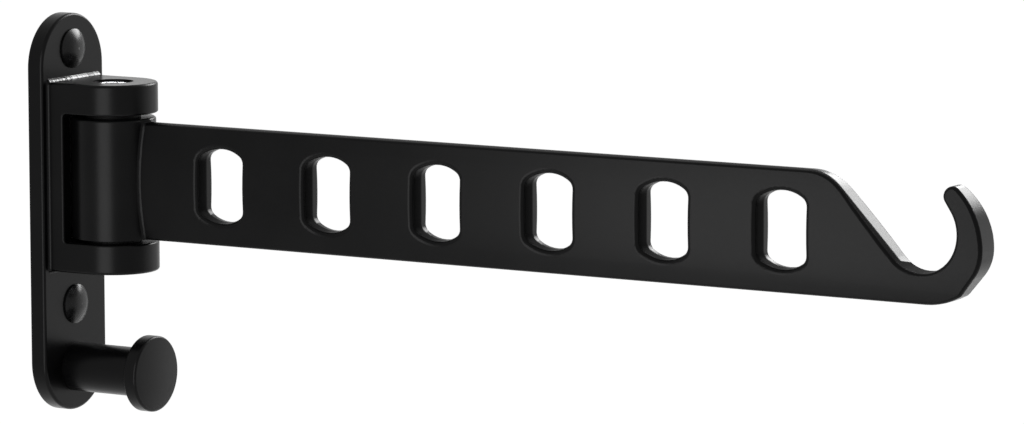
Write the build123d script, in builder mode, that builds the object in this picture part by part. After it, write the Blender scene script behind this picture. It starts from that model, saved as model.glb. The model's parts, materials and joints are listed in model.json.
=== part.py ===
"""Wall drying rack: a wall bracket with a coat peg and a slotted arm that swings flat to either side.

The wall is the plane x = 0. The origin is the middle of the plate's back face. +X points away from the
wall, along the arm, and +Z points up. Sizes are in millimetres.
"""

from build123d import *
from math import cos, radians, sin, sqrt, tan
import os

# Wall plate
plate_width = 31.5
plate_thickness = 5.4
plate_edge_round = 0.9
plate_back_round = 0.7
plate_above_screw = 10.6
plate_below_peg = 13.1

# Wall screws and their caps
screw_above_bracket = 9.1
screw_below_bracket = 11.4
screw_hole_diameter = 5.5
screw_recess_diameter = 10.4
screw_recess_depth = 2.6
cap_diameter = 11.8
cap_height = 2.4
cap_wall = 0.8
cap_spigot_length = 2.0
cap_spigot_clearance = 0.1
cap_rim_height = 0.5

# Bracket that holds the pivot
pivot_distance = 20.16
ear_radius = 13.3
bracket_bottom = -16.4
lower_ear_thickness = 8.9
upper_ear_thickness = 9.2
web_thickness = 5.5
ear_edge_round = 0.9
bracket_root_fillet = 1.0
window_corner = 1.0
window_edge_round = 0.6

# Pivot bolt, nut and bushes
bolt_diameter = 8.0
bolt_hole_clearance = 0.1
bolt_head_diameter = 11.5
bolt_head_height = 4.2
bolt_head_recess = 0.8
bolt_head_clearance = 0.3
bolt_head_round = 0.5
bolt_socket_width = 6.0
bolt_socket_depth = 3.0
bolt_end_recess = 0.2
bolt_end_chamfer = 0.7
nut_width = 13.0
nut_height = 5.6
nut_recess = 0.6
nut_clearance = 0.15
nut_corner_chamfer = 0.6
nut_thread_clearance = 0.025
bush_diameter = 12.0
bush_length = 11.0
bush_flange_diameter = 16.4
bush_flange_thickness = 1.2
bush_seat_clearance = 0.03
bush_running_clearance = 0.05
arm_end_play = 0.1

# Swing arm
barrel_radius = 12.7
barrel_clearance = 0.7
barrel_edge_round = 0.8
barrel_step = 1.15
arm_reach = 309.5
blade_height = 34.95
blade_thickness = 8.9
blade_edge_thickness = 5.1
blade_edge_round = 1.0
blade_root_fillet = 1.1

# Hanger slots
slot_pitch = 37.4
near_slot_distance = 60.63
slot_width = 15.5
slot_floor_height = 6.8
slot_headroom = 6.15
slot_arch_radius = 12.0
slot_corner_radius = 3.0
slot_edge_round = 1.4

# Hook at the end of the arm
slope_angle = 47.6
shoulder_radius = 15.0
bowl_radius = 11.0
bowl_floor = 8.8
hook_front_wall = 7.85
lip_angle = 36.0
tip_radius = 2.7
tip_height = 33.25
front_height = 16.0
nose_back = 2.6
nose_height = 8.5
nose_flat_length = 7.0
heel_radius = 3.0
foot_back = 18.0

# Coat peg and its screw
peg_below_screw = 19.1
peg_length = 29.4
peg_post_diameter = 14.7
peg_knob_diameter = 22.8
peg_knob_thickness = 4.4
peg_knob_round = 0.7
peg_neck_fillet = 1.0
peg_screw_diameter = 4.0
peg_screw_grip = 12.0
peg_screw_hole_spare = 1.0
peg_screw_head_diameter = 8.0
peg_screw_head_recess = 0.3
peg_screw_hole_clearance = 0.25
peg_screw_seat_clearance = 0.03
peg_screw_thread_clearance = 0.025
peg_screw_socket_width = 2.5
peg_screw_socket_depth = 1.3
countersink_angle = 90.0

# Heights and places that follow
barrel_height = blade_height + barrel_step
window_height = barrel_height + 2 * bush_flange_thickness + arm_end_play
window_bottom = bracket_bottom + lower_ear_thickness
window_top = window_bottom + window_height
bracket_top = window_top + upper_ear_thickness
web_front = plate_thickness + web_thickness
barrel_bottom = window_bottom + bush_flange_thickness
barrel_top = barrel_bottom + barrel_height
blade_bottom = barrel_bottom
blade_top = blade_bottom + blade_height
blade_middle = (blade_bottom + blade_top) / 2
slot_height = blade_height - slot_floor_height - slot_headroom
slot_middle = blade_bottom + slot_floor_height + slot_height / 2
upper_screw_height = bracket_top + screw_above_bracket
lower_screw_height = bracket_bottom - screw_below_bracket
screw_heights = (lower_screw_height, upper_screw_height)
peg_height = lower_screw_height - peg_below_screw
plate_top = upper_screw_height + plate_above_screw
plate_bottom = peg_height - plate_below_peg
plate_middle = (plate_bottom + plate_top) / 2
pivot = (pivot_distance, 0)
pivot_axis = Axis((pivot_distance, 0, 0), (0, 0, 1))
bolt_end = bracket_bottom + bolt_end_recess
bush_bore = bolt_diameter + 2 * bush_running_clearance
bolt_seat = bracket_top - bolt_head_recess - bolt_head_height
nut_seat = bracket_bottom + nut_recess + nut_height

# Slack of the selectors, and sides of every hexagon
hair = 0.001
hexagon = 6

os.makedirs("parts", exist_ok=True)


# Wall bracket: plate, web and two ears in one casting
with BuildPart() as wall_bracket:
    with BuildSketch(Plane.XY.offset(bracket_bottom)):
        with Locations(pivot):
            Circle(ear_radius)
            Rectangle(pivot_distance - plate_thickness / 2, 2 * ear_radius, align=(Align.MAX, Align.CENTER))
    extrude(amount=bracket_top - bracket_bottom)
    for end in (0, -1):
        fillet(wall_bracket.faces().sort_by(Axis.Z)[end].edges().sort_by(Axis.X)[1:], ear_edge_round)

    # Window for the barrel, with soft corners and edges
    with BuildSketch(Plane.XY.offset(window_bottom)):
        with Locations((web_front, 0)):
            Rectangle(pivot_distance + ear_radius, 4 * ear_radius, align=(Align.MIN, Align.CENTER))
    extrude(amount=window_height, mode=Mode.SUBTRACT)
    window_edges = wall_bracket.edges().filter_by_position(Axis.Z, window_bottom - hair, window_top + hair)
    window_edges = window_edges.filter_by_position(Axis.X, web_front - hair, arm_reach)
    fillet(window_edges.filter_by(Axis.Y), window_corner)
    window_rims = wall_bracket.edges().filter_by_position(Axis.Z, window_bottom - hair, window_top + hair)
    window_rims = window_rims.filter_by_position(Axis.X, web_front - hair, arm_reach)
    window_rims = window_rims.filter_by(Axis.Y, reverse=True)
    fillet(window_rims, window_edge_round)

    # Hollow in the web that clears the barrel
    with BuildSketch(Plane.XY.offset(window_bottom + window_corner)):
        with Locations(pivot):
            Circle(barrel_radius + barrel_clearance)
    extrude(amount=window_height - 2 * window_corner, mode=Mode.SUBTRACT)

    # Wall plate with full round ends, rounded front edge and a fillet round the foot of the bracket
    with BuildSketch(Plane.YZ):
        with Locations((0, plate_middle)):
            SlotOverall(plate_top - plate_bottom, plate_width, rotation=90)
    extrude(amount=plate_thickness)
    for rim, radius in (("outer", plate_edge_round), ("inner", bracket_root_fillet)):
        front_faces = wall_bracket.faces().filter_by_position(
            Axis.X, plate_thickness - hair, plate_thickness + hair
        )
        plate_front = front_faces.sort_by(SortBy.AREA)[-1]
        edges = plate_front.outer_wire().edges() if rim == "outer" else plate_front.inner_wires().edges()
        fillet(edges, radius)
    fillet(wall_bracket.faces().sort_by(Axis.X)[0].outer_wire().edges(), plate_back_round)

    # Wall screw holes, sunk from the front, and the peg's screw hole, countersunk from behind
    for height in screw_heights:
        with Locations(Plane((plate_thickness, 0, height), z_dir=(1, 0, 0))):
            CounterBoreHole(
                screw_hole_diameter / 2,
                screw_recess_diameter / 2,
                screw_recess_depth,
                plate_thickness,
            )
    with Locations(Plane((0, 0, peg_height), z_dir=(-1, 0, 0))):
        CounterSinkHole(
            peg_screw_diameter / 2 + peg_screw_hole_clearance,
            peg_screw_head_diameter / 2 + peg_screw_head_recess + peg_screw_seat_clearance,
            plate_thickness,
            countersink_angle,
        )

    # Pivot bore, recess for the bolt head above and hexagonal pocket for the nut below
    with BuildSketch(Plane.XY.offset(bracket_bottom)):
        with Locations(pivot):
            Circle(bolt_diameter / 2 + bolt_hole_clearance)
    extrude(amount=bracket_top - bracket_bottom, mode=Mode.SUBTRACT)
    with BuildSketch(Plane.XY.offset(bolt_seat)):
        with Locations(pivot):
            Circle(bolt_head_diameter / 2 + bolt_head_clearance)
    extrude(amount=bracket_top - bolt_seat, mode=Mode.SUBTRACT)
    with BuildSketch(Plane.XY.offset(bracket_bottom)):
        with Locations(pivot):
            RegularPolygon(nut_width / 2 + nut_clearance, hexagon, major_radius=False)
    extrude(amount=nut_seat - bracket_bottom, mode=Mode.SUBTRACT)

wall_bracket.part.label = "wall_bracket"
export_step(wall_bracket.part, "parts/wall_bracket.step")


# Swing arm: outline of the hook, from tangent lines and arcs
slope = Vector(cos(radians(slope_angle)), -sin(radians(slope_angle)))
bowl = Vector(arm_reach - hook_front_wall - bowl_radius, blade_bottom + bowl_floor + bowl_radius)
bowl_start = bowl - Vector(-slope.Y, slope.X) * bowl_radius
shoulder_corner = bowl_start - slope * ((blade_top - bowl_start.Y) / -slope.Y)
shoulder_setback = shoulder_radius * tan(radians(slope_angle / 2))
shoulder_start = shoulder_corner - Vector(shoulder_setback, 0)
shoulder_end = shoulder_corner + slope * shoulder_setback
lip_out = Vector(cos(radians(lip_angle)), sin(radians(lip_angle)))
lip_up = Vector(-lip_out.Y, lip_out.X)
bowl_end = bowl + lip_out * bowl_radius
tip_middle = blade_bottom + tip_height - tip_radius
lip_length = (tip_middle - bowl.Y - (bowl_radius + tip_radius) * lip_out.Y) / lip_up.Y
tip = bowl + lip_out * (bowl_radius + tip_radius) + lip_up * lip_length
tip_start = tip - lip_out * tip_radius
front = Vector(arm_reach, blade_bottom + front_height)
tip_setback = arm_reach - tip.X
tip_rise = tip.Y - front.Y
front_radius = (tip_setback**2 + tip_rise**2 - tip_radius**2) / (2 * (tip_setback - tip_radius))
from_front_centre = (tip - front + Vector(front_radius, 0)).normalized()
tip_end = tip + from_front_centre * tip_radius
front_start_direction = Vector(from_front_centre.Y, -from_front_centre.X)
nose = Vector(arm_reach - nose_back, blade_bottom + nose_height)
foot = Vector(arm_reach - foot_back, blade_bottom)

# Hanger slot: straight sides, arched top and bottom, soft corners; as many as fit before the shoulder
slot_count = 1 + int((shoulder_corner.X - slot_width / 2 - near_slot_distance) / slot_pitch)
slot_side = slot_height / 2 - slot_arch_radius + sqrt(slot_arch_radius**2 - (slot_width / 2) ** 2)
with BuildSketch() as slot_shape:
    with BuildLine():
        right = Line((slot_width / 2, -slot_side), (slot_width / 2, slot_side))
        upper_arch = ThreePointArc(right @ 1, (0, slot_height / 2), (-slot_width / 2, slot_side))
        left = Line(upper_arch @ 1, (-slot_width / 2, -slot_side))
        ThreePointArc(left @ 1, (0, -slot_height / 2), right @ 0)
    make_face()
    fillet(slot_shape.vertices(), slot_corner_radius)

# Swing arm: barrel, crowned blade, slots and hook in one casting
with BuildPart() as swing_arm:
    with BuildSketch(Plane.XZ) as outline:
        with BuildLine():
            Line((pivot_distance, blade_top), shoulder_start)
            TangentArc(shoulder_start, shoulder_end, tangent=(1, 0))
            Line(shoulder_end, bowl_start)
            TangentArc(bowl_start, bowl_end, tangent=slope)
            Line(bowl_end, tip_start)
            TangentArc(tip_start, tip_end, tangent=lip_up)
            TangentArc(tip_end, front, tangent=front_start_direction)
            front_arc = TangentArc(front, nose, tangent=(0, -1))
            flat = PolarLine(nose, nose_flat_length, direction=front_arc % 1)
            TangentArc(foot, flat @ 1, tangent=(1, 0))
            Polyline(foot, (pivot_distance, blade_bottom), (pivot_distance, blade_top))
        make_face()
        fillet(outline.vertices().sort_by_distance(flat @ 1)[0], heel_radius)
    extrude(amount=blade_thickness, both=True)

    # The blade is a lens in section, thickest at mid height
    with BuildSketch(Plane.YZ.offset(pivot_distance)):
        with BuildLine():
            near = ThreePointArc(
                (blade_edge_thickness / 2, blade_bottom),
                (blade_thickness / 2, blade_middle),
                (blade_edge_thickness / 2, blade_top),
            )
            across = Line(near @ 1, (-blade_edge_thickness / 2, blade_top))
            far = ThreePointArc(
                across @ 1,
                (-blade_thickness / 2, blade_middle),
                (-blade_edge_thickness / 2, blade_bottom),
            )
            Line(far @ 1, near @ 0)
        make_face()
    extrude(amount=arm_reach, mode=Mode.INTERSECT)

    with BuildSketch(Plane.XZ):
        with Locations(*[(near_slot_distance + n * slot_pitch, slot_middle) for n in range(slot_count)]):
            add(slot_shape.sketch)
    extrude(amount=blade_thickness, both=True, mode=Mode.SUBTRACT)

    # Outer edges, all but the one buried in the barrel, then the edges of the slots
    crowns = swing_arm.faces().sort_by(Axis.Y)
    for crown in (crowns[0], crowns[-1]):
        fillet(crown.outer_wire().edges().sort_by(Axis.X)[1:], blade_edge_round)
    crowns = swing_arm.faces().sort_by(Axis.Y)
    for crown in (crowns[0], crowns[-1]):
        fillet([edge for rim in crown.inner_wires() for edge in rim.edges()], slot_edge_round)

    # The barrel starts too long below, so that the fillet at the root runs right round the blade
    barrel_start = barrel_bottom - 2 * blade_root_fillet
    with BuildSketch(Plane.XY.offset(barrel_start)):
        with Locations(pivot):
            Circle(barrel_radius)
    extrude(amount=barrel_top - barrel_start)
    barrel_walls = swing_arm.faces().filter_by(GeomType.CYLINDER).filter_by(
        lambda face: abs(face.radius - barrel_radius) < hair
    )
    root = barrel_walls.edges().filter_by(GeomType.LINE, reverse=True).group_by(Axis.Z)
    fillet([edge for level in root[1:-1] for edge in level], blade_root_fillet)
    split(bisect_by=Plane.XY.offset(barrel_bottom), keep=Keep.TOP)

    # Rounded top rim of the barrel
    with BuildSketch(Plane.XZ):
        with Locations((pivot_distance + barrel_radius - barrel_edge_round, barrel_top - barrel_edge_round)):
            Rectangle(2 * barrel_edge_round, barrel_edge_round, align=(Align.MIN, Align.MIN))
            Circle(barrel_edge_round, mode=Mode.SUBTRACT)
    revolve(axis=pivot_axis, mode=Mode.SUBTRACT)

    with BuildSketch(Plane.XY.offset(barrel_bottom)):
        with Locations(pivot):
            Circle(bush_diameter / 2 + bush_seat_clearance)
    extrude(amount=barrel_height, mode=Mode.SUBTRACT)

swing_arm.part.label = "swing_arm"
export_step(swing_arm.part, "parts/swing_arm.step")


# Pivot bolt with a hexagon socket in its head
with BuildPart() as pivot_bolt:
    with BuildSketch(Plane.XY.offset(bolt_seat)):
        with Locations(pivot):
            Circle(bolt_head_diameter / 2)
    extrude(amount=bolt_head_height)
    fillet(pivot_bolt.faces().sort_by(Axis.Z)[-1].edges(), bolt_head_round)
    with BuildSketch(Plane.XY.offset(bolt_seat + bolt_head_height - bolt_socket_depth)):
        with Locations(pivot):
            RegularPolygon(bolt_socket_width / 2, hexagon, major_radius=False)
    extrude(amount=bolt_socket_depth, mode=Mode.SUBTRACT)
    with BuildSketch(Plane.XY.offset(bolt_end)):
        with Locations(pivot):
            Circle(bolt_diameter / 2)
    extrude(amount=bolt_seat - bolt_end)
    chamfer(pivot_bolt.faces().sort_by(Axis.Z)[0].edges(), bolt_end_chamfer)

pivot_bolt.part.label = "pivot_bolt"
export_step(pivot_bolt.part, "parts/pivot_bolt.step")


# Pivot nut: a chamfered disc cut to a hexagon
with BuildPart() as pivot_nut:
    with BuildSketch(Plane.XY.offset(nut_seat - nut_height)):
        with Locations(pivot):
            Circle(nut_width / 2 / cos(radians(180 / hexagon)))
    extrude(amount=nut_height)
    chamfer(pivot_nut.edges().filter_by(GeomType.CIRCLE), nut_corner_chamfer)
    with BuildSketch(Plane.XY.offset(nut_seat - nut_height)):
        with Locations(pivot):
            RegularPolygon(nut_width / 2, hexagon, major_radius=False)
            Circle(bolt_diameter / 2 + nut_thread_clearance, mode=Mode.SUBTRACT)
    extrude(amount=nut_height, mode=Mode.INTERSECT)

pivot_nut.part.label = "pivot_nut"
export_step(pivot_nut.part, "parts/pivot_nut.step")


# Flanged bushes pressed into both ends of the barrel
for name, seat, inward in (("lower_bush", barrel_bottom, 1), ("upper_bush", barrel_top, -1)):
    with BuildPart() as bush:
        with BuildSketch(Plane.XY.offset(seat)):
            with Locations(pivot):
                Circle(bush_flange_diameter / 2)
        extrude(amount=-inward * bush_flange_thickness)
        with BuildSketch(Plane.XY.offset(seat)):
            with Locations(pivot):
                Circle(bush_diameter / 2)
        extrude(amount=inward * bush_length)
        with BuildSketch(Plane.XY.offset(seat - inward * bush_flange_thickness)):
            with Locations(pivot):
                Circle(bush_bore / 2)
        extrude(amount=inward * (bush_flange_thickness + bush_length), mode=Mode.SUBTRACT)

    bush.part.label = name
    export_step(bush.part, f"parts/{name}.step")


# Coat peg: turned post with a flat round knob and a blind hole for its screw
peg_front = plate_thickness + peg_length
knob_back = peg_front - peg_knob_thickness
post_edge = peg_height + peg_post_diameter / 2
knob_edge = peg_height + peg_knob_diameter / 2
hole_end = plate_thickness + peg_screw_grip + peg_screw_hole_spare
hole_edge = peg_height + peg_screw_diameter / 2 + peg_screw_thread_clearance
with BuildPart() as coat_peg:
    with BuildSketch(Plane.XZ) as peg_profile:
        with BuildLine():
            Polyline(
                (hole_end, peg_height),
                (peg_front, peg_height),
                (peg_front, knob_edge),
                (knob_back, knob_edge),
                (knob_back, post_edge),
                (plate_thickness, post_edge),
                (plate_thickness, hole_edge),
                (hole_end, hole_edge),
                (hole_end, peg_height),
            )
        make_face()
        levels = peg_profile.vertices().group_by(Axis.Y)
        fillet(levels[-1], peg_knob_round)
        levels = peg_profile.vertices().filter_by_position(Axis.Y, post_edge - hair, post_edge + hair)
        fillet(levels.sort_by(Axis.X)[-1], peg_neck_fillet)
    revolve(axis=Axis((0, 0, peg_height), (1, 0, 0)))

coat_peg.part.label = "coat_peg"
export_step(coat_peg.part, "parts/coat_peg.step")


# Countersunk screw that holds the peg from behind
with BuildPart() as peg_screw:
    with BuildSketch(Plane.YZ.offset(peg_screw_head_recess)):
        with Locations((0, peg_height)):
            Circle(peg_screw_head_diameter / 2)
    extrude(amount=(peg_screw_head_diameter - peg_screw_diameter) / 2, taper=countersink_angle / 2)
    with BuildSketch(Plane.YZ.offset(peg_screw_head_recess)):
        with Locations((0, peg_height)):
            Circle(peg_screw_diameter / 2)
    extrude(amount=plate_thickness + peg_screw_grip - peg_screw_head_recess)
    with BuildSketch(Plane.YZ.offset(peg_screw_head_recess)):
        with Locations((0, peg_height)):
            RegularPolygon(peg_screw_socket_width / 2, hexagon, major_radius=False)
    extrude(amount=peg_screw_socket_depth, mode=Mode.SUBTRACT)

peg_screw.part.label = "peg_screw"
export_step(peg_screw.part, "parts/peg_screw.step")


# Domed caps over the wall screws, hollow, each with a spigot in the screw's recess
spigot_radius = screw_recess_diameter / 2 - cap_spigot_clearance
for name, height in zip(("lower_screw_cap", "upper_screw_cap"), screw_heights):
    with BuildPart() as screw_cap:
        with BuildSketch(Plane.XZ):
            with BuildLine():
                dome_rise = cap_height - cap_rim_height
                dome_radius = ((cap_diameter / 2) ** 2 + dome_rise**2) / (2 * dome_rise)
                inner_radius = dome_radius - cap_wall
                bore = spigot_radius - cap_wall
                top = plate_thickness + cap_height
                dome_start = (plate_thickness + cap_rim_height, height + cap_diameter / 2)
                inner_start_x = top - dome_radius + sqrt(inner_radius**2 - bore**2)
                outer = RadiusArc(dome_start, (top, height), dome_radius)
                axis_line = Line(outer @ 1, (top - cap_wall, height))
                inner = RadiusArc(axis_line @ 1, (inner_start_x, height + bore), -inner_radius)
                Polyline(
                    inner @ 1,
                    (plate_thickness - cap_spigot_length, height + bore),
                    (plate_thickness - cap_spigot_length, height + spigot_radius),
                    (plate_thickness, height + spigot_radius),
                    (plate_thickness, height + cap_diameter / 2),
                    dome_start,
                )
            make_face()
        revolve(axis=Axis((0, 0, height), (1, 0, 0)))

    screw_cap.part.label = name
    export_step(screw_cap.part, f"parts/{name}.step")
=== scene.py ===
"""Looks of the wall drying rack: black powder coat, plated steel and plastic, in soft studio light.

The frame gives every piece in metres: the wall is x = 0, +X points out from the wall and +Z points up.
"""

import json
import math
import random

import bmesh
import bpy
from mathutils import Matrix, Vector


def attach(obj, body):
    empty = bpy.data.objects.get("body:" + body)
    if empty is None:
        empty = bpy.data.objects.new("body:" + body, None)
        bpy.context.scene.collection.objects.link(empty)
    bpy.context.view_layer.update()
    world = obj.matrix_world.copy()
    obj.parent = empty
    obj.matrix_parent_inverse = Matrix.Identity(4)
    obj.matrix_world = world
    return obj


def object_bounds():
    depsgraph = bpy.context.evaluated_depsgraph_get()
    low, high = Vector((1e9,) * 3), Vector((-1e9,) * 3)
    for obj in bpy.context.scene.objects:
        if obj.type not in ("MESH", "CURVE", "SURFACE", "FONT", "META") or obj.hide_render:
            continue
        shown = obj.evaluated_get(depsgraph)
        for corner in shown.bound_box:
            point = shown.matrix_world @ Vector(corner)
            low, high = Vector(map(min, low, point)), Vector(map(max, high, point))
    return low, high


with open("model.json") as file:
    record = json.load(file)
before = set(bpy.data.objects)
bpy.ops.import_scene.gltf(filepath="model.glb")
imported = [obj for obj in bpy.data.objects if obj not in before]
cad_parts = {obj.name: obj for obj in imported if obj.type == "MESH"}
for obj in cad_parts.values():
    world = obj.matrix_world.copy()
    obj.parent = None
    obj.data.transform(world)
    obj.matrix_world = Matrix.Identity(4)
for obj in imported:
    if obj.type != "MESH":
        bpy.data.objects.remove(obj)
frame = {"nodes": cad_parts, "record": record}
cad_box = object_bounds()

MM = 0.001
WHITE = (1.0, 1.0, 1.0, 1.0)

# Camera of the photograph
PHOTO_WIDTH_PX = 1024
PHOTO_FOCAL_PX = 5384.4
SENSOR_WIDTH_MM = 36.0
CAMERA_AZIMUTH = 30.985
CAMERA_ELEVATION = 7.562
CAMERA_ROLL = -0.095
CAMERA_DISTANCE = 1.5382
CAMERA_TARGET = Vector((0.15873, 0.0, 0.01022))
CLIP_START, CLIP_END = 0.01, 100.0

# Floor, backdrop and ambient light
FLOOR_DROP = 0.30
FLOOR_SIZE = 60.0
FLOOR_COLOUR = (0.9, 0.9, 0.9, 1.0)
FLOOR_GLOW = 0.89
BACKDROP = 1.0
AMBIENT = 0.15

# Soft boxes: name, azimuth and elevation in degrees and distance from the target, width, height, watts, target
ARM_MIDDLE = (0.15, 0.0, 0.01)
BARREL_SIDE = (0.076, 0.0, -0.015)
EAR_CORNER = (0.02, 0.0, 0.04)
LAMPS = (
    ("front_softbox", -90, 0, 0.34, 0.21, 0.36, 1.2, BARREL_SIDE),
    ("rear_top_softbox", 80, 30, 0.9, 0.56, 0.40, 11.0, ARM_MIDDLE),
    ("rear_side_softbox", 54, -2, 1.2, 1.00, 0.60, 1.5, ARM_MIDDLE),
    ("rear_left_card", 121, 12, 0.30, 0.16, 0.12, 0.018, EAR_CORNER),
)

# Range where the values of a noise mostly lie
NOISE_LOW, NOISE_HIGH = 0.3, 0.7

# Paint: tones, shine, roughness, and noises per metre
PAINT_BLACK = (0.0010, 0.0010, 0.0011, 1.0)
PAINT_DUSTY = (0.0022, 0.0022, 0.0023, 1.0)
PAINT_LEVEL = 0.08
PAINT_ROUGHNESS = (0.28, 0.32)
PAINT_CLOUDS, PAINT_GRAIN, PAINT_PEEL = 60.0, 1400.0, 420.0
PEEL_STRENGTH, PEEL_DEPTH = 0.06, 0.05 * MM
BEAD_LEVEL = 0.5

# Steel: tones, roughness, noise per metre and its relief
STEEL_DULL = (0.53, 0.53, 0.55, 1.0)
STEEL_BRIGHT = (0.63, 0.63, 0.65, 1.0)
STEEL_ROUGHNESS = (0.20, 0.34)
STEEL_GRAIN = 900.0
STEEL_STRENGTH, STEEL_DEPTH = 0.8, 0.3 * MM

# Plastic: shade, roughness and shine of each kind, spread of both tones and of roughness, noise and relief
NYLON_SHADE, NYLON_ROUGHNESS, NYLON_LEVEL = 0.006, 0.55, 0.1
CAP_SHADE, CAP_ROUGHNESS, CAP_LEVEL = 0.003, 0.28, 0.15
PLASTIC_TONES = (0.8, 1.2)
PLASTIC_BLUE = 1.04
PLASTIC_SPREAD = (0.9, 1.1)
PLASTIC_GRAIN = 900.0
PLASTIC_STRENGTH, PLASTIC_DEPTH = 0.05, 0.02 * MM

# Draft of the arm's walls: reach along x and z, and the line across the wall where it starts: in the slots,
# at the foot of the hook's slope, in its bowl and at the shoulder
DRAFT_START, DRAFT_END = 0.032, 0.301
DRAFT_LOW, DRAFT_HIGH = -0.001, 0.0325
WALL_FACING = 0.25
SLOT_LINE = 0.0012
SLOPE_LINE, SLOPE_FOOT = -0.0006, 0.0066
BOWL_LINE, BOWL_HEIGHTS = 0.006, (0.0040, 0.0052)
SHOULDER_LINE, SHOULDER_TOP = -0.0021, 0.0292
HOOK_BLEND = (0.252, 0.266)
DRAFT_BLEND = 0.0008
DRAFT_SLOPE = 0.36

# Dome of the knob's face: slope per metre from its centre
KNOB_FACING = 0.9
KNOB_HEIGHT = -0.0469
KNOB_DOME = 14.0

# Chips on the bolt's head: noise per metre, the value above which they lie, and their slope
HEAD_FACING = 0.5
CHIP_SCALE = 420.0
CHIP_SHARE = 0.5
CHIP_LEAN = 0.95

# Bead of paint in the corner between the upper ear and the plate; its outline is in shares of its size,
# out from the plate and up from the ear
BEAD_OUTLINE = ((-0.1, -0.1), (1.0, -0.1), (0.97, 0.1), (0.6, 0.56), (0.1, 0.97), (-0.1, 1.0))
BEAD_SIZE = 0.00105
BEAD_RAGGED = 0.00007
BEAD_REACH = 0.0128
BEAD_STEP = 0.0004
BEAD_SEED = 7
CLEAR_OF_PLATE = 0.012
CLEAR_OF_EAR = 0.004


def direction(azimuth, elevation):
    """Unit vector from the object; azimuth in degrees from +X towards +Y."""
    a, e = math.radians(azimuth), math.radians(elevation)
    return Vector((math.cos(a) * math.cos(e), math.sin(a) * math.cos(e), math.sin(e)))


def place_in_scene(name, data):
    thing = bpy.data.objects.new(name, data)
    bpy.context.scene.collection.objects.link(thing)
    return thing


def make_camera():
    azimuth, elevation = math.radians(CAMERA_AZIMUTH), math.radians(CAMERA_ELEVATION)
    back = Vector((
        math.sin(azimuth) * math.cos(elevation),
        -math.cos(azimuth) * math.cos(elevation),
        math.sin(elevation),
    ))
    data = bpy.data.cameras.new("photo_camera")
    data.sensor_width = SENSOR_WIDTH_MM
    data.lens = PHOTO_FOCAL_PX / PHOTO_WIDTH_PX * SENSOR_WIDTH_MM
    data.clip_start = CLIP_START
    data.clip_end = CLIP_END
    camera = place_in_scene("photo_camera", data)
    camera.rotation_mode = "QUATERNION"
    upright = (-back).to_track_quat("-Z", "Y").to_matrix()
    roll = Matrix.Rotation(math.radians(CAMERA_ROLL), 3, "Z")
    camera.rotation_quaternion = (upright @ roll).to_quaternion()
    camera.location = CAMERA_TARGET + back * CAMERA_DISTANCE
    bpy.context.scene.camera = camera


class Graph:
    """Emptied node tree of a material or world, with short ways to add nodes."""

    def __init__(self, owner):
        owner.use_nodes = True
        self.nodes, self.links = owner.node_tree.nodes, owner.node_tree.links
        self.nodes.clear()

    def add(self, kind, inputs=(), **settings):
        """New node; each input is a number, a colour or another node's socket."""
        node = self.nodes.new("ShaderNode" + kind)
        for name, value in settings.items():
            setattr(node, name, value)
        for place, value in dict(inputs).items():
            if isinstance(value, bpy.types.NodeSocket):
                self.links.new(value, node.inputs[place])
            else:
                node.inputs[place].default_value = value
        return node

    def maths(self, operation, *values, clamp=False):
        return self.add("Math", enumerate(values), operation=operation, use_clamp=clamp).outputs[0]

    def product(self, total, *factors):
        for factor in factors:
            total = self.maths("MULTIPLY", total, factor)
        return total

    def between(self, value, low, high):
        """1 where the value lies between the two, else 0."""
        return self.maths("COMPARE", value, (low + high) / 2, (high - low) / 2)

    def ramp(self, value, start, end, low, high):
        """Goes from low to high while the value goes from start to end."""
        inputs = {"Value": value, "From Min": start, "From Max": end, "To Min": low, "To Max": high}
        return self.add("MapRange", inputs).outputs["Result"]

    def spread(self, value, low, high):
        """Maps the range where noise mostly lies to low..high."""
        return self.ramp(value, NOISE_LOW, NOISE_HIGH, low, high)

    def noise(self, coordinates, per_metre, detail=2.0):
        inputs = {"Vector": coordinates, "Scale": per_metre, "Detail": detail}
        return self.add("TexNoise", inputs).outputs["Fac"]

    def two_tone(self, value, dark, light):
        """Colour that wanders between two tones as the noise does."""
        inputs = {"Factor": self.spread(value, 0.0, 1.0), 6: dark, 7: light}
        return self.add("Mix", inputs, data_type="RGBA").outputs[2]

    def split(self, vector):
        return self.add("SeparateXYZ", {0: vector}).outputs

    def turn(self, normal, source, target):
        """Turns a normal from one space into the other."""
        settings = {"vector_type": "NORMAL", "convert_from": source, "convert_to": target}
        return self.add("VectorTransform", {0: normal}, **settings).outputs[0]

    def leaning_normal(self, coordinates, lean):
        """Surface normal with the lean added in the piece's own axes."""
        normal = self.turn(self.add("NewGeometry").outputs["Normal"], "WORLD", "OBJECT")
        push = self.add("CombineXYZ", lean(self, coordinates, self.split(normal))).outputs[0]
        total = self.add("VectorMath", {0: normal, 1: push}, operation="ADD").outputs[0]
        unit = self.add("VectorMath", {0: total}, operation="NORMALIZE").outputs[0]
        return self.turn(unit, "OBJECT", "WORLD")

    def relief(self, coordinates, height, strength, depth, lean=None):
        """Normal with fine relief, on top of the lean if there is one."""
        inputs = {"Height": height, "Strength": strength, "Distance": depth}
        if lean:
            inputs["Normal"] = self.leaning_normal(coordinates, lean)
        return self.add("Bump", inputs).outputs["Normal"]

    def seen_rays(self):
        """1 for rays that show the background: from the camera, a glossy surface or through glass."""
        path = self.add("LightPath").outputs
        total = path["Is Camera Ray"]
        for name in ("Is Glossy Ray", "Is Transmission Ray"):
            total = self.maths("MAXIMUM", total, path[name])
        return total


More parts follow.
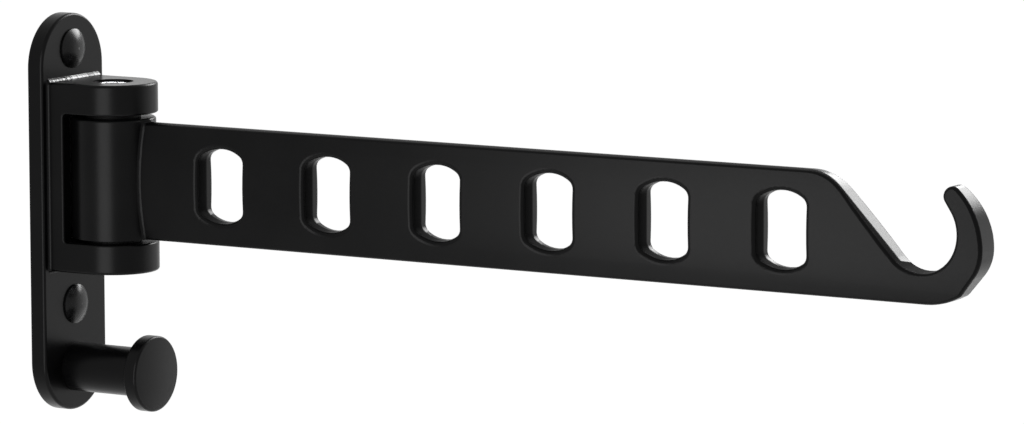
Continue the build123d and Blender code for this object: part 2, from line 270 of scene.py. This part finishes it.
def make_world():
    world = bpy.data.worlds.new("studio")
    bpy.context.scene.world = world
    graph = Graph(world)
    ambient = graph.add("Background", {"Color": WHITE, "Strength": AMBIENT})
    white = graph.add("Background", {"Color": WHITE, "Strength": BACKDROP})
    mix = graph.add("MixShader", {0: graph.seen_rays(), 1: ambient.outputs[0], 2: white.outputs[0]})
    graph.add("OutputWorld", {"Surface": mix.outputs[0]})


def make_floor():
    bpy.ops.mesh.primitive_plane_add(size=FLOOR_SIZE)
    floor = bpy.context.object
    floor.name = "floor"
    floor.location.z = cad_box[0].z - FLOOR_DROP
    material = bpy.data.materials.new("floor_white")
    graph = Graph(material)
    diffuse = graph.add("BsdfDiffuse", {"Color": FLOOR_COLOUR})
    glow = graph.add("Emission", {"Color": WHITE, "Strength": graph.product(graph.seen_rays(), FLOOR_GLOW)})
    both = graph.add("AddShader", {0: diffuse.outputs[0], 1: glow.outputs[0]})
    graph.add("OutputMaterial", {"Surface": both.outputs[0]})
    floor.data.materials.append(material)


def make_lamps():
    """Soft boxes, each facing its target."""
    for name, azimuth, elevation, distance, width, height, watts, target in LAMPS:
        data = bpy.data.lights.new(name, "AREA")
        data.shape = "RECTANGLE"
        data.size = width
        data.size_y = height
        data.energy = watts
        lamp = place_in_scene(name, data)
        away = direction(azimuth, elevation)
        lamp.location = Vector(target) + away * distance
        lamp.rotation_mode = "QUATERNION"
        lamp.rotation_quaternion = (-away).to_track_quat("-Z", "Y")
        lamp.visible_camera = False


def arm_lean(graph, coordinates, facing):
    """Casting draft: the front part of the walls of the slots and the hook leans towards the front."""
    place = graph.split(coordinates)
    along = graph.between(place["X"], DRAFT_START, DRAFT_END)
    height = graph.between(place["Z"], DRAFT_LOW, DRAFT_HIGH)
    wall = graph.between(facing["Y"], -WALL_FACING, WALL_FACING)
    slope_shift, shoulder_shift = SLOPE_LINE - SLOT_LINE, SHOULDER_LINE - SLOT_LINE
    climb = graph.ramp(place["Z"], SLOPE_FOOT, SHOULDER_TOP, slope_shift, shoulder_shift)
    bowl = graph.ramp(place["Z"], *BOWL_HEIGHTS, BOWL_LINE, 0.0)
    in_hook = graph.ramp(place["X"], *HOOK_BLEND, 0.0, 1.0)
    shift = graph.product(graph.maths("ADD", climb, bowl), in_hook)
    line = graph.maths("ADD", shift, SLOT_LINE)
    depth = graph.maths("SUBTRACT", line, place["Y"])
    front = graph.maths("MULTIPLY", depth, 1.0 / DRAFT_BLEND, clamp=True)
    return {"Y": graph.product(along, height, wall, front, -DRAFT_SLOPE)}


def knob_lean(graph, coordinates, facing):
    """Slight dome of the knob's face."""
    place = graph.split(coordinates)
    steep = graph.product(graph.maths("GREATER_THAN", facing["X"], KNOB_FACING), KNOB_DOME)
    height = graph.maths("SUBTRACT", place["Z"], KNOB_HEIGHT)
    return {"Y": graph.product(place["Y"], steep), "Z": graph.product(height, steep)}


def bolt_lean(graph, coordinates, facing):
    """Burrs and chips round the socket of the bolt's head, which catch the light."""
    upward = graph.maths("GREATER_THAN", facing["Z"], HEAD_FACING)
    chip = graph.maths("GREATER_THAN", graph.noise(coordinates, CHIP_SCALE, detail=3.0), CHIP_SHARE)
    return {"X": graph.product(upward, chip, CHIP_LEAN)}


def make_material(name, fill):
    """Material whose Principled inputs are what fill returns for its graph and the piece's coordinates."""
    material = bpy.data.materials.new(name)
    graph = Graph(material)
    coordinates = graph.add("TexCoord").outputs["Object"]
    principled = graph.add("BsdfPrincipled", fill(graph, coordinates))
    graph.add("OutputMaterial", {"Surface": principled.outputs[0]})
    return material


def paint_material(name, lean=None, level=PAINT_LEVEL):
    """Satin powder coat: fine orange peel, faint clouds in colour and gloss."""
    def fill(graph, coordinates):
        clouds = graph.noise(coordinates, PAINT_CLOUDS)
        grain = graph.noise(coordinates, PAINT_GRAIN, detail=3.0)
        peel = graph.noise(coordinates, PAINT_PEEL, detail=1.0)
        return {
            "Base Color": graph.two_tone(clouds, PAINT_BLACK, PAINT_DUSTY),
            "Roughness": graph.spread(grain, *PAINT_ROUGHNESS),
            "Specular IOR Level": level,
            "Normal": graph.relief(coordinates, peel, PEEL_STRENGTH, PEEL_DEPTH, lean),
        }
    return make_material(name, fill)


def steel_material(name, lean=None):
    """Bright zinc plate, slightly clouded and uneven."""
    def fill(graph, coordinates):
        grain = graph.noise(coordinates, STEEL_GRAIN, detail=3.0)
        return {
            "Metallic": 1.0,
            "Base Color": graph.two_tone(grain, STEEL_DULL, STEEL_BRIGHT),
            "Roughness": graph.spread(grain, *STEEL_ROUGHNESS),
            "Normal": graph.relief(coordinates, grain, STEEL_STRENGTH, STEEL_DEPTH, lean),
        }
    return make_material(name, fill)


def plastic_material(name, shade, roughness, level):
    """Moulded black plastic with a fine grain."""
    def fill(graph, coordinates):
        grain = graph.noise(coordinates, PLASTIC_GRAIN)
        dark, light = ((shade * tone, shade * tone, shade * tone * PLASTIC_BLUE, 1.0) for tone in PLASTIC_TONES)
        smooth, rough = (roughness * share for share in PLASTIC_SPREAD)
        return {
            "Base Color": graph.two_tone(grain, dark, light),
            "Roughness": graph.spread(grain, smooth, rough),
            "Specular IOR Level": level,
            "Normal": graph.relief(coordinates, grain, PLASTIC_STRENGTH, PLASTIC_DEPTH),
        }
    return make_material(name, fill)


def make_bead(material):
    """Ragged bead of paint in the corner between the upper ear and the plate."""
    points = [vertex.co for vertex in frame["nodes"]["wall_bracket"].data.vertices]
    ear_top = max(point.z for point in points if point.x > CLEAR_OF_PLATE)
    plate_front = max(point.x for point in points if point.z > ear_top + CLEAR_OF_EAR)
    mesh = bpy.data.meshes.new("corner_bead")
    build = bmesh.new()
    chance = random.Random(BEAD_SEED)
    sections = []
    for i in range(round(2 * BEAD_REACH / BEAD_STEP) + 1):
        y = -BEAD_REACH + i * BEAD_STEP
        size = BEAD_SIZE + chance.uniform(-BEAD_RAGGED, BEAD_RAGGED)
        corners = [(plate_front + size * out, y, ear_top + size * up) for out, up in BEAD_OUTLINE]
        sections.append([build.verts.new(corner) for corner in corners])
    for near, far in zip(sections, sections[1:]):
        for j in range(len(near)):
            k = (j + 1) % len(near)
            build.faces.new((near[j], near[k], far[k], far[j]))
    build.faces.new(reversed(sections[0]))
    build.faces.new(sections[-1])
    bmesh.ops.recalc_face_normals(build, faces=build.faces)
    build.to_mesh(mesh)
    build.free()
    mesh.materials.append(material)
    bead = place_in_scene("corner_bead", mesh)
    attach(bead, "bracket")


def dress():
    own = {
        "swing_arm": paint_material("satin_black_paint_arm", arm_lean),
        "coat_peg": paint_material("satin_black_paint_peg", knob_lean),
        "pivot_bolt": steel_material("zinc_plated_bolt", bolt_lean),
    }
    finishes = {
        "paint": paint_material("satin_black_paint"),
        "steel": steel_material("zinc_plated_steel"),
        "bush_plastic": plastic_material("matt_black_nylon", NYLON_SHADE, NYLON_ROUGHNESS, NYLON_LEVEL),
        "cap_plastic": plastic_material("black_cap_plastic", CAP_SHADE, CAP_ROUGHNESS, CAP_LEVEL),
    }
    for part in frame["record"]["subparts"]:
        node = frame["nodes"][part["node"]]
        node.data.materials.clear()
        node.data.materials.append(own.get(part["node"]) or finishes[part["material_slot"]])
    make_bead(paint_material("pooled_black_paint", level=BEAD_LEVEL))


make_camera()
make_world()
make_floor()
make_lamps()
dress()
bpy.context.scene.view_settings.view_transform = "Standard"
